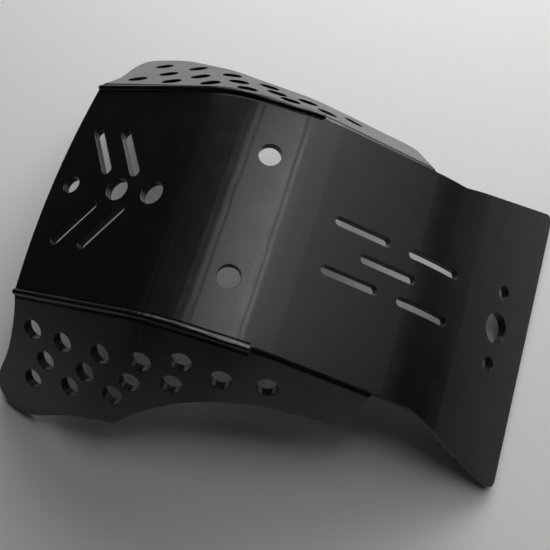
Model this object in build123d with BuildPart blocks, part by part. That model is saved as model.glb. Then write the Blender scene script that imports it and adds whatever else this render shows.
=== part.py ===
from build123d import *
import os
from math import cos, radians, sin, tan

# Motorcycle skid plate: a plastic sheet bent along its length, with a side wing folded down each long edge
# and a weld bead closing the front of each fold. Sizes are in millimetres. A station is a distance along the
# outer face from the middle of the front edge, and a depth is a distance down a wing from its fold.

# sheet and lengthwise bends, on the outer face
sheet = 8.0
front_length = 131.5
bend_1_angle = 29.5
bend_1_radius = 102.0
middle_length = 39.5
bend_2_angle = 16.5
bend_2_radius = 116.0
rear_length = 99.0
bend_3_angle = 18.5
bend_3_radius = 198.0
end_length = 93.0

# outline of the panel between the folds, and of its flared tail
panel_width = 215.0
front_bow = 8.5
neck_width = 210.0
neck_step = 4.0
neck_length = 37.3
flare_radius = 25.0
tail_width = 280.0
tail_corner_radius = 7.0

# wings, folded at the rear flat by this angle
wing_fold = 54.0
fold_radius = 6.0
wing_end = 348.0
wing_corner_radius = 14.0
lobe_corner_radius = 8.0

# outline of each wing as (station, depth): the lobe, the shoulder behind it and the strip to the tail
keel = (87.0, 154.0)
near_lobe = [(22, 40), (30, 88), (37, 125), (58, 145.5), keel, (120, 144.5), (148, 138), (174, 134)]
near_joint = (182, 118.5)
near_strip = [(201, 95.5), (230, 74), (268, 57.5), (300, 51), (320, 48.5)]
near_tip = (346.5, 45)
far_lobe = [(22, 23), (37, 81), (47, 119), (61, 146.5), keel, (109, 150), (123, 138), (146, 114.5)]
far_joint = (180, 94)
far_strip = [(212, 86), (250, 81), (284, 82.5), (312, 81.5), (332, 81.5)]
far_tip = (355.5, 84)

# lightening holes in the wings as (station, depth)
wing_hole_diameter = 19.0
near_holes = [(47, 42), (85, 50), (128.5, 54), (166.5, 51), (196, 37.5), (232.5, 42.5), (269, 32.5),
              (76.5, 77.5), (123.5, 80.5), (167.5, 78.5), (199.5, 65), (72.5, 105), (115.5, 103), (160, 99.5)]
far_holes = [(49.5, 32), (89.5, 23), (132.5, 19), (168.5, 15), (209, 21), (244.5, 25), (276.5, 47.5),
             (86, 64.5), (123, 52), (163, 43), (199, 39), (229, 44.5), (80.5, 111.5), (122, 99), (158.5, 74),
             (194.5, 63.5)]

# fixing holes: two on the middle flat, three in a row at the tail
mount_hole_diameter = 20.0
mount_hole_spacing = 112.5
tail_hole_station = 467.0
tail_centre_diameter = 29.0
tail_side_diameter = 14.5
tail_side_spacing = 70.5

# drain slots and front drain holes
slot_length = 54.0
slot_width = 8.0
side_slot_across = 22.5
side_slot_stations = (301.0, 374.5)
centre_slot_station = 332.5
chevron_angle = 55.0
chevron_width = 9.5
chevron_across = 36.5
chevron_stations = (42.0, 73.5)
front_hole_diameter = 17.0
front_hole_station = 22.0
drain_hole_diameter = 22.0
drain_hole_stations = (74.5, 112.5)

# weld bead along the front of each fold: the near one on the corner, the far one inside it, drifting outwards
bead_radius = 2.8
bead_setback = 1.0
bead_end = 236.0
far_bead_inset = 4.6
far_bead_drift = 0.87

panel_half = panel_width / 2

# outer profile of the panel, drawn front flat level and tail to +X, then stood up on its edge
with BuildLine() as profile:
    front = Line((0, 0), (front_length, 0))
    bend_1 = JernArc(front @ 1, front % 1, bend_1_radius, -bend_1_angle)
    middle = PolarLine(bend_1 @ 1, middle_length, direction=bend_1 % 1)
    bend_2 = JernArc(middle @ 1, middle % 1, bend_2_radius, -bend_2_angle)
    rear = PolarLine(bend_2 @ 1, rear_length, direction=bend_2 % 1)
    bend_3 = JernArc(rear @ 1, rear % 1, bend_3_radius, -bend_3_angle)
    end = PolarLine(bend_3 @ 1, end_length, direction=bend_3 % 1)

spine = Plane.XZ * profile.wires()[0]
wing_run = (front, bend_1, middle, bend_2, rear)
seam = Wire(spine.edges().sort_by(spine)[: len(wing_run)])
front_station = front.length / 2
middle_station = front.length + bend_1.length + middle.length / 2
rear_station = sum(run.length for run in wing_run) - rear.length / 2
end_station = spine.length
reach = end_station
cut_depth = 1.5 * sheet


def panel_plane(station, across=0):
    """Plane on the outer face: X towards the tail, Z out of the sheet."""
    spot = spine.position_at(station, position_mode=PositionMode.LENGTH)
    along = spine.tangent_at(station, position_mode=PositionMode.LENGTH)
    return Plane(origin=spot + Vector(0, across, 0), x_dir=along, z_dir=along.cross(Vector(0, 1, 0)))


def wing_way(side):
    """Direction down a wing: square to the fold at the rear flat, and the same all along the wing."""
    out = panel_plane(rear_station).z_dir
    return Vector(0, side, 0) * cos(radians(wing_fold)) - out * sin(radians(wing_fold))


def wing_plane(station, depth, side):
    """Plane on a wing's outer face: X towards the tail, Z out of the sheet."""
    base = panel_plane(station, side * panel_half)
    down = wing_way(side)
    return Plane(origin=base.origin + down * depth, x_dir=base.x_dir, z_dir=base.x_dir.cross(down) * side)


def seen(plane, side, *spots):
    """Places on a wing, given as (station, depth), seen square to a plane."""
    found = [plane.to_local_coords(wing_plane(station, depth, side).origin) for station, depth in spots]
    return [(point.X, point.Y) for point in found]


# panel: the profile made solid, cut to its outline square to the tail and to the bowed front edge
with BuildPart() as panel:
    with BuildSketch(Plane.XZ):
        with BuildLine():
            add(profile.line)
            offset(amount=sheet, side=Side.RIGHT)
        make_face()
    extrude(amount=tail_width / 2, both=True)
    tail_plane = panel_plane(end_station)
    neck_x = tail_plane.to_local_coords(panel_plane(wing_end).origin).X
    flare = (neck_x + neck_length, neck_width / 2)
    with BuildSketch(tail_plane):
        with BuildLine():
            Polyline((-reach, 0), (-reach, panel_half), (neck_x, panel_half),
                     (neck_x + neck_step, neck_width / 2), flare, (0, tail_width / 2), (0, 0), close=True)
        make_face()
        tail_corners = vertices().group_by(Axis.X)[-1]
        fillet(tail_corners.sort_by(Axis.Y)[-1], tail_corner_radius)
        fillet(vertices().sort_by_distance(flare)[0], flare_radius)
        mirror(about=Plane.XZ)
    extrude(amount=reach, both=True, mode=Mode.INTERSECT)
    with BuildSketch(Plane.XY):
        with BuildLine():
            bow = ThreePointArc((front_bow, -panel_half), (0, 0), (front_bow, panel_half))
            Polyline(bow @ 1, (-sheet, panel_half), (-sheet, -panel_half), bow @ 0)
        make_face()
    extrude(amount=cut_depth, both=True, mode=Mode.SUBTRACT)


def make_wing(side, lobe, joint, strip, tip):
    """One wing: the seam run down its fold direction, thickened inwards and cut to its outline.
    The lobe is cut square to the front flat's side of the wing, the strip square to the rear flat's side."""
    with BuildPart() as wing:
        skin = Shell.extrude(seam.moved(Location((0, side * panel_half, 0))), wing_way(side) * reach / 2)
        add(Solid.thicken(skin, side * sheet))
        lobe_plane = wing_plane(front_station, 0, side)
        with BuildSketch(lobe_plane):
            with BuildLine():
                edge = Spline(*seen(lobe_plane, side, (front_bow, 0), *lobe))
                Polyline(edge @ 1, *seen(lobe_plane, side, joint, (joint[0] + panel_half, reach),
                                         (-reach, reach), (-reach, -sheet), (front_bow, -sheet)), edge @ 0)
            make_face()
            fillet(vertices().sort_by_distance(edge @ 1)[0], lobe_corner_radius)
        extrude(amount=reach, both=True, mode=Mode.SUBTRACT)
        strip_plane = wing_plane(rear_station, 0, side)
        with BuildSketch(strip_plane):
            with BuildLine():
                edge = Spline(*seen(strip_plane, side, joint, *strip))
                corner = seen(strip_plane, side, tip)[0]
                Polyline(edge @ 1, corner, *seen(strip_plane, side, (wing_end, 0), (wing_end, -sheet),
                                                 (end_station, -sheet), (end_station, reach),
                                                 (front_bow, reach)), edge @ 0)
            make_face()
            fillet(vertices().sort_by_distance(corner)[0], wing_corner_radius)
        extrude(amount=reach, both=True, mode=Mode.SUBTRACT)
    return wing.part


near_wing = make_wing(-1, near_lobe, near_joint, near_strip, near_tip)
far_wing = make_wing(1, far_lobe, far_joint, far_strip, far_tip)


def fold_run(start, finish, side, inset=0, drift=0):
    """Stretch along one fold between two stations, on its corner or inside it, drifting out by an angle."""
    ends = [panel_plane(station).origin for station in (start, finish)]
    return spine.trim(*ends).moved(Location((0, side * (panel_half - inset), 0), (0, 0, side * drift)))


def make_bead(side, inset, drift):
    """Weld bead with rounded ends, lying along one fold."""
    with BuildPart() as bead:
        with BuildLine() as path:
            add(fold_run(front_bow + bead_setback, bead_end, side, inset, drift))
        run = path.wires()[0]
        with BuildSketch(Plane(origin=run @ 0, z_dir=run % 0)):
            Circle(bead_radius)
        sweep(path=run)
        with Locations(run @ 0, run @ 1):
            Sphere(bead_radius)
    return bead.part


# plate: panel and wings as one folded sheet, with its folds rounded, its beads laid and its openings cut
with BuildPart() as plate:
    add(panel.part)
    add((near_wing, far_wing))
    half_fold = radians(wing_fold) / 2
    tangent = fold_radius * tan(half_fold)
    for side in (-1, 1):
        run = fold_run(0, wing_end, side)
        with BuildSketch(Plane(origin=run @ 0, x_dir=(0, side, 0), z_dir=run % 0)):
            with BuildLine():
                round_edge = ThreePointArc(
                    (-tangent, 0),
                    (fold_radius * sin(half_fold) - tangent, side * fold_radius * (cos(half_fold) - 1)),
                    (tangent * cos(2 * half_fold), -side * tangent * sin(2 * half_fold)),
                )
                Polyline(round_edge @ 1, (fold_radius, side * fold_radius), round_edge @ 0)
            make_face()
        sweep(path=run, mode=Mode.SUBTRACT)
    add((make_bead(-1, 0, 0), make_bead(1, far_bead_inset, far_bead_drift)))
    for side, holes in ((-1, near_holes), (1, far_holes)):
        with Locations([wing_plane(station, depth, side).location for station, depth in holes]):
            Hole(wing_hole_diameter / 2, cut_depth)
    with Locations(panel_plane(front_hole_station).location):
        Hole(front_hole_diameter / 2, cut_depth)
    for station in drain_hole_stations:
        with Locations(panel_plane(station).location):
            Hole(drain_hole_diameter / 2, cut_depth)
    for side in (-1, 1):
        with Locations(panel_plane(middle_station, side * mount_hole_spacing / 2).location):
            Hole(mount_hole_diameter / 2, cut_depth)
        with Locations(panel_plane(tail_hole_station, side * tail_side_spacing / 2).location):
            Hole(tail_side_diameter / 2, cut_depth)
    with Locations(panel_plane(tail_hole_station).location):
        Hole(tail_centre_diameter / 2, cut_depth)
    slots = [(centre_slot_station, 0, 0, slot_width)]
    for side in (-1, 1):
        for station in side_slot_stations:
            slots.append((station, side * side_slot_across, 0, slot_width))
        for station in chevron_stations:
            slots.append((station, side * chevron_across, -side * chevron_angle, chevron_width))
    for station, across, turn, width in slots:
        with BuildSketch(panel_plane(station, across)):
            SlotOverall(slot_length, width, rotation=turn)
        extrude(amount=cut_depth, both=True, mode=Mode.SUBTRACT)


def low_point(pieces, pitch):
    """Height of the lowest point of some pieces with the front edge tipped down by a pitch."""
    return min(piece.rotate(Axis.Y, -pitch).bounding_box().min.Z for piece in pieces)


# resting place: the plate lies outer face up on the lobes of its wings and the edge of its tail
pitch = 0.0
for halving in range(1, 21):
    steeper = pitch + 90 / 2**halving
    if low_point((near_wing, far_wing), steeper) > low_point((panel.part,), steeper):
        pitch = steeper

tipped = plate.part.rotate(Axis.Y, -pitch)
box = tipped.bounding_box()
with BuildPart() as skid_plate:
    add(tipped.moved(Location((-box.center().X, -box.center().Y, -box.min.Z))))
skid_plate.part.label = "skid_plate"

os.makedirs("parts", exist_ok=True)
export_step(skid_plate.part, "parts/skid_plate.step")
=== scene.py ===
import math
import bpy
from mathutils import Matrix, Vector

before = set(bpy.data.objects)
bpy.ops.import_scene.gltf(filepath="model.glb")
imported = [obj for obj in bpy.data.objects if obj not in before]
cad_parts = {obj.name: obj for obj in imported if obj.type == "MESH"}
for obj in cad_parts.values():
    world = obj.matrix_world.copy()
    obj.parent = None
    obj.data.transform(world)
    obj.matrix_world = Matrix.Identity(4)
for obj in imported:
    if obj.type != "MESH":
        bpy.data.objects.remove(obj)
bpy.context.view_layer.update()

# Skid plate: one black polyethylene sheet, sawn, drilled and slotted flat, then bent warm across its
# length and folded down into a wing on each side. Its faces keep a satin rolled skin, its bends keep the
# marks of the press, and a bead of the same plastic closes the front of each fold.


def feed(tree, socket, value):
    """Wires another node's output into a socket, or sets the socket to a plain value."""
    if isinstance(value, bpy.types.NodeSocket):
        tree.links.new(value, socket)
    else:
        socket.default_value = value


def new_group(name, outputs, settings=()):
    """A node group that reads a position and some named settings, and puts out some named values.

    Gives the group, the sockets that it reads and the sockets that it fills.
    """
    group = bpy.data.node_groups.new(name, "ShaderNodeTree")
    group.interface.new_socket("Position", in_out="INPUT", socket_type="NodeSocketVector")
    for label in settings:
        group.interface.new_socket(label, in_out="INPUT", socket_type="NodeSocketFloat")
    for label in outputs:
        group.interface.new_socket(label, in_out="OUTPUT", socket_type="NodeSocketFloat")
    return group, group.nodes.new("NodeGroupInput").outputs, group.nodes.new("NodeGroupOutput").inputs


def noise(tree, position, detail, scale=1.0, rough=0.5):
    """Noise over a position, with so many features to each of its units."""
    node = tree.nodes.new("ShaderNodeTexNoise")
    feed(tree, node.inputs["Vector"], position)
    node.inputs["Scale"].default_value = scale
    node.inputs["Detail"].default_value = detail
    node.inputs["Roughness"].default_value = rough
    return node.outputs["Fac"]


def value_map(tree, value, from_range, to_range, blend="SMOOTHSTEP"):
    """A value mapped from one range onto another, and held at its ends."""
    node = tree.nodes.new("ShaderNodeMapRange")
    node.interpolation_type = blend
    feed(tree, node.inputs["Value"], value)
    for label, limit in zip(("From Min", "From Max", "To Min", "To Max"), (*from_range, *to_range)):
        node.inputs[label].default_value = limit
    return node.outputs["Result"]


def arithmetic(tree, operation, *terms):
    """One step of arithmetic on plain numbers and other nodes' outputs."""
    node = tree.nodes.new("ShaderNodeMath")
    node.operation = operation
    for socket, term in zip(node.inputs, terms):
        feed(tree, socket, term)
    return node.outputs["Value"]


def stretched(tree, position, lay, turn=(0, 0, 0)):
    """A position in a lay of so many features a metre along each axis, then turned by some degrees."""
    node = tree.nodes.new("ShaderNodeMapping")
    feed(tree, node.inputs["Vector"], position)
    node.inputs["Rotation"].default_value = [math.radians(angle) for angle in turn]
    node.inputs["Scale"].default_value = lay
    return node.outputs["Vector"]


def axes(tree, position):
    """The X, Y and Z of a position."""
    node = tree.nodes.new("ShaderNodeSeparateXYZ")
    feed(tree, node.inputs["Vector"], position)
    return node.outputs


# rolled skin: a fine orange peel, and a slow cloudiness of the gloss
peel_scale = 1100.0
cloud_scale = 38.0
skin, skin_in, skin_out = new_group("rolled skin", ("Height", "Dullness"))
peel = noise(skin, skin_in["Position"], detail=3.0, scale=peel_scale)
cloud = noise(skin, skin_in["Position"], detail=5.0, scale=cloud_scale, rough=0.6)
feed(skin, skin_out["Height"], peel)
feed(skin, skin_out["Dullness"], cloud)

# handling marks: sparse hairlines across the plate, where noise in a long, fine lay is at its highest. There
# are three sets, each with its own lay and with its noise turned, so that they fall in different places
hair_sets = (
    ((620.0, 9.0, 620.0), (20, 10, 35)),
    ((760.0, 7.0, 760.0), (-15, 25, -50)),
    ((540.0, 11.0, 540.0), (40, -30, 80)),
)
hair_peak = (0.755, 0.80)
marks, marks_in, marks_out = new_group("handling marks", ("Scratch",))
scratch = 0.0
for hair_lay, hair_turn in hair_sets:
    hair = noise(marks, stretched(marks, marks_in["Position"], hair_lay, hair_turn), detail=1.0)
    scratch = arithmetic(marks, "MAXIMUM", scratch, value_map(marks, hair, hair_peak, (0.0, 1.0)))
feed(marks, marks_out["Scratch"], scratch)

# the press didn't leave straight lines: they sway a little over the width of the plate
sway_lay = (16.0, 36.0, 0.0)


def wandering_x(tree, position, amount):
    """The distance along the plate, moved to and fro by up to half an amount."""
    sway = noise(tree, stretched(tree, position, sway_lay), detail=3.0)
    moved = arithmetic(tree, "MULTIPLY_ADD", sway, amount, axes(tree, position)["X"])
    return arithmetic(tree, "SUBTRACT", moved, amount / 2)


# press strokes: the first bend was made in six strokes, so it is a row of narrow flats between soft creases.
# A flat lies inside the round bend by a depth times the square of t(1 - t), where t runs from 0 to 1 between
# its creases, and the depth is uneven in long streaks, less so towards the end of the bend
stroke_count = 6
stroke_start = -0.0955
stroke_end = -0.0512
stroke_sway = 0.0036
stroke_depth = 0.0008
stroke_unevenness = 0.0060
unevenness_left = 0.10
streak_lay = (290.0, 9.0, 0.0)
strokes, strokes_in, strokes_out = new_group("press strokes", ("Height",))
bend_way = wandering_x(strokes, strokes_in["Position"], stroke_sway)
strokes_done = value_map(strokes, bend_way, (stroke_start, stroke_end), (0.0, stroke_count), "LINEAR")
flat_way = arithmetic(strokes, "FRACT", strokes_done)
bow = arithmetic(strokes, "MULTIPLY", flat_way, arithmetic(strokes, "SUBTRACT", 1.0, flat_way))
streak = noise(strokes, stretched(strokes, strokes_in["Position"], streak_lay), detail=2.0)
uneven = arithmetic(strokes, "MULTIPLY_ADD", streak, stroke_unevenness, -stroke_unevenness / 2)
fade = value_map(strokes, strokes_done, (1.0, stroke_count - 1.0), (1.0, unevenness_left))
flat_rise = arithmetic(strokes, "SUBTRACT", arithmetic(strokes, "MULTIPLY", uneven, fade), stroke_depth)
flats = arithmetic(strokes, "MULTIPLY", arithmetic(strokes, "MULTIPLY", bow, bow), flat_rise)
feed(strokes, strokes_out["Height"], flats)

# press line: a faint groove or ridge that the press left across the sheet, straight or a little askew. Its
# height is a bell curve of the distance from its line
line_sway = 0.0034
press, press_in, press_out = new_group("press line", ("Height",), ("Place", "Skew", "Width", "Rise"))
plate_way = wandering_x(press, press_in["Position"], line_sway)
plate_y = axes(press, press_in["Position"])["Y"]
press_x = arithmetic(press, "MULTIPLY_ADD", plate_y, press_in["Skew"], press_in["Place"])
line_off = arithmetic(press, "SUBTRACT", plate_way, press_x)
widths_off = arithmetic(press, "DIVIDE", line_off, press_in["Width"])
squared = arithmetic(press, "MULTIPLY", widths_off, widths_off)
bell = arithmetic(press, "EXPONENT", arithmetic(press, "MULTIPLY", squared, -1.0))
feed(press, press_out["Height"], arithmetic(press, "MULTIPLY", bell, press_in["Rise"]))

# weld bead: the welding shoe drew uneven ridges along each bead and pressed the sheet down at its toe. Both
# follow the bead's line, which may drift across the sheet, and end where the bead ends
bead_radius = 0.0028
bead_end = 0.0
bead_relief = 0.0007
ridge_lay = (16.0, 420.0, 0.0)
ridge_fade = (0.9 * bead_radius, 1.3 * bead_radius)
toe_slope = (bead_radius, 1.8 * bead_radius)
toe_depth = 0.0004
bead, bead_in, bead_out = new_group("weld bead", ("Height",), ("Place", "Drift"))
bead_axes = axes(bead, bead_in["Position"])
bead_y = arithmetic(bead, "MULTIPLY_ADD", bead_axes["X"], bead_in["Drift"], bead_in["Place"])
bead_off = arithmetic(bead, "ABSOLUTE", arithmetic(bead, "SUBTRACT", bead_axes["Y"], bead_y))
ridges = noise(bead, stretched(bead, bead_in["Position"], ridge_lay), detail=2.0)
relief = arithmetic(bead, "MULTIPLY_ADD", ridges, bead_relief, -bead_relief / 2)
on_bead = value_map(bead, bead_off, ridge_fade, (1.0, 0.0))
toe = value_map(bead, bead_off, toe_slope, (-toe_depth, 0.0))
before_end = value_map(bead, bead_axes["X"], (bead_end - bead_radius, bead_end), (1.0, 0.0))
bead_height = arithmetic(bead, "MULTIPLY_ADD", relief, on_bead, toe)
feed(bead, bead_out["Height"], arithmetic(bead, "MULTIPLY", bead_height, before_end))

# place, skew, width and rise of the groove where the first bend ends, and of the groove and the ridge side by
# side where the second bend begins
press_lines = (
    (-0.0540, 0.0, 0.0018, -0.00003),
    (-0.0147, -0.006, 0.0026, -0.00013),
    (-0.0096, -0.006, 0.0040, 0.00017),
)
# place and drift of the near bead and of the far one
bead_lines = ((-0.1075, 0.0), (0.1064, 0.0150))
sheet_black = (0.0045, 0.0045, 0.0047, 1.0)
sheet_scuffed = (0.016, 0.016, 0.0165, 1.0)
sheet_ior = 1.54
cloud_range = (0.3, 0.7)
roughness_range = (0.24, 0.29)
edge_break = 0.0009
edge_samples = 8
peel_depth = 0.00005
peel_strength = 0.25

sheet_finish = bpy.data.materials.new("black sheet")
sheet_finish.use_nodes = True
tree = sheet_finish.node_tree
sheet = tree.nodes["Principled BSDF"].inputs
sheet["IOR"].default_value = sheet_ior
place = tree.nodes.new("ShaderNodeTexCoord").outputs["Object"]


def effect(group, **settings):
    """The outputs of one use of a group in the sheet's material, with its own settings."""
    node = tree.nodes.new("ShaderNodeGroup")
    node.node_tree = group
    feed(tree, node.inputs["Position"], place)
    for label, value in settings.items():
        node.inputs[label].default_value = value
    return node.outputs


def bump(height, under, strength, distance):
    """The normal of a height, given in units of a distance, on top of the normal under it."""
    node = tree.nodes.new("ShaderNodeBump")
    node.inputs["Strength"].default_value = strength
    node.inputs["Distance"].default_value = distance
    feed(tree, node.inputs["Height"], height)
    feed(tree, node.inputs["Normal"], under)
    return node.outputs["Normal"]


colour = tree.nodes.new("ShaderNodeMix")
colour.data_type = "RGBA"
colour.inputs["A"].default_value = sheet_black
colour.inputs["B"].default_value = sheet_scuffed
feed(tree, colour.inputs["Factor"], effect(marks)["Scratch"])
feed(tree, sheet["Base Color"], colour.outputs["Result"])

rolled = effect(skin)
feed(tree, sheet["Roughness"], value_map(tree, rolled["Dullness"], cloud_range, roughness_range))

marked = [effect(press, Place=at, Skew=skew, Width=width, Rise=rise)
          for at, skew, width, rise in press_lines]
welded = [effect(bead, Place=at, Drift=drift) for at, drift in bead_lines]
height = effect(strokes)["Height"]
for mark in marked + welded:
    height = arithmetic(tree, "ADD", height, mark["Height"])

# the cut edges are broken with a scraper. The heights of the press marks and the welds are in metres, and the
# peel of the skin lies over them
broken_edge = tree.nodes.new("ShaderNodeBevel")
broken_edge.samples = edge_samples
broken_edge.inputs["Radius"].default_value = edge_break
formed = bump(height, broken_edge.outputs["Normal"], strength=1.0, distance=1.0)
feed(tree, sheet["Normal"], bump(rolled["Height"], formed, peel_strength, peel_depth))

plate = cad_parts["skid_plate"]
plate.data.materials.clear()
plate.data.materials.append(sheet_finish)

# Floor: a plain board painted a pale matt grey, level and far wider than the picture.
# The plate lies on it loose, on the lobes of its wings and the edge of its tail.
floor_half = 6.0
floor_colour = (0.80, 0.80, 0.79, 1.0)
floor_roughness = 0.9
floor_shine = 0.1
floor_corners = [(-floor_half, -floor_half, 0), (floor_half, -floor_half, 0),
                 (floor_half, floor_half, 0), (-floor_half, floor_half, 0)]
floor_mesh = bpy.data.meshes.new("floor")
floor_mesh.from_pydata(floor_corners, [], [(0, 1, 2, 3)])
floor = bpy.data.objects.new("floor", floor_mesh)
bpy.context.scene.collection.objects.link(floor)
floor_finish = bpy.data.materials.new("floor")
floor_finish.use_nodes = True
board = floor_finish.node_tree.nodes["Principled BSDF"].inputs
board["Base Color"].default_value = floor_colour
board["Roughness"].default_value = floor_roughness
board["Specular IOR Level"].default_value = floor_shine
floor_mesh.materials.append(floor_finish)

# Studio light: a level row of soft boxes hangs over the plate, brightest over its middle and dim at the ends.
# A large box and a low strip behind the far wing light the floor, and a weak panel stands beyond the tail.


def softbox(name, centre, size, glow, aim=None):
    """A flat lamp that is evenly bright. Its glow is its brightness, where 1 is white.

    It shines at its aim, or straight down.
    """
    lamp = bpy.data.lights.new(name, "AREA")
    lamp.shape = "RECTANGLE"
    lamp.size, lamp.size_y = size
    lamp.energy = glow * math.pi * size[0] * size[1]
    box = bpy.data.objects.new(name, lamp)
    box.location = centre
    if aim:
        box.rotation_euler = (Vector(aim) - Vector(centre)).to_track_quat("-Z", "Y").to_euler()
    box.visible_camera = False
    bpy.context.scene.collection.objects.link(box)


# name, left and right end, near and far side, and glow of each box in the row
row_height = 1.25
row_boxes = (
    ("front box", (-1.30, -0.22), (-0.15, 0.95), 0.07),
    ("lead box", (-0.22, 0.0), (0.02, 0.74), 0.30),
    ("middle box", (0.0, 0.08), (0.02, 0.74), 3.20),
    ("bright box", (0.08, 0.18), (0.02, 0.74), 4.90),
    ("tail box", (0.18, 1.00), (0.08, 1.00), 1.15),
    ("end box", (1.00, 1.50), (0.12, 1.15), 0.48),
)
for name, (left, right), (near, far), glow in row_boxes:
    softbox(name, ((left + right) / 2, (near + far) / 2, row_height), (right - left, far - near), glow)
softbox("side panel", centre=(1.70, 1.00, 0.45), size=(1.0, 0.7), glow=0.20, aim=(0.15, 0.0, 0.10))
softbox("back box", centre=(0.45, 3.30, 2.00), size=(4.2, 2.2), glow=3.2, aim=(0.15, 0.30, 0.70))
softbox("low strip", centre=(-0.10, 0.75, 0.55), size=(1.1, 0.2), glow=4.6, aim=(-0.05, 0.25, 0.0))

studio_dark = (0.012, 0.012, 0.012, 1.0)
world = bpy.data.worlds.new("studio")
world.use_nodes = True
world.node_tree.nodes["Background"].inputs["Color"].default_value = studio_dark
bpy.context.scene.world = world

# Camera: stands above the near wing, turned a little, as the photograph was taken.
# Its place and lens were solved from the holes, slots and edges that the photograph shows.
sensor_width = 36.0
focal_length = 53.649
camera_place = (0.07073, -0.23851, 0.7731)
camera_turn = (18.2735, 0.9339, 17.106)
lens = bpy.data.cameras.new("camera")
lens.sensor_width = sensor_width
lens.lens = focal_length
camera = bpy.data.objects.new("camera", lens)
camera.location = camera_place
camera.rotation_euler = [math.radians(angle) for angle in camera_turn]
bpy.context.scene.collection.objects.link(camera)
bpy.context.scene.camera = camera
bpy.context.scene.view_settings.view_transform = "Standard"
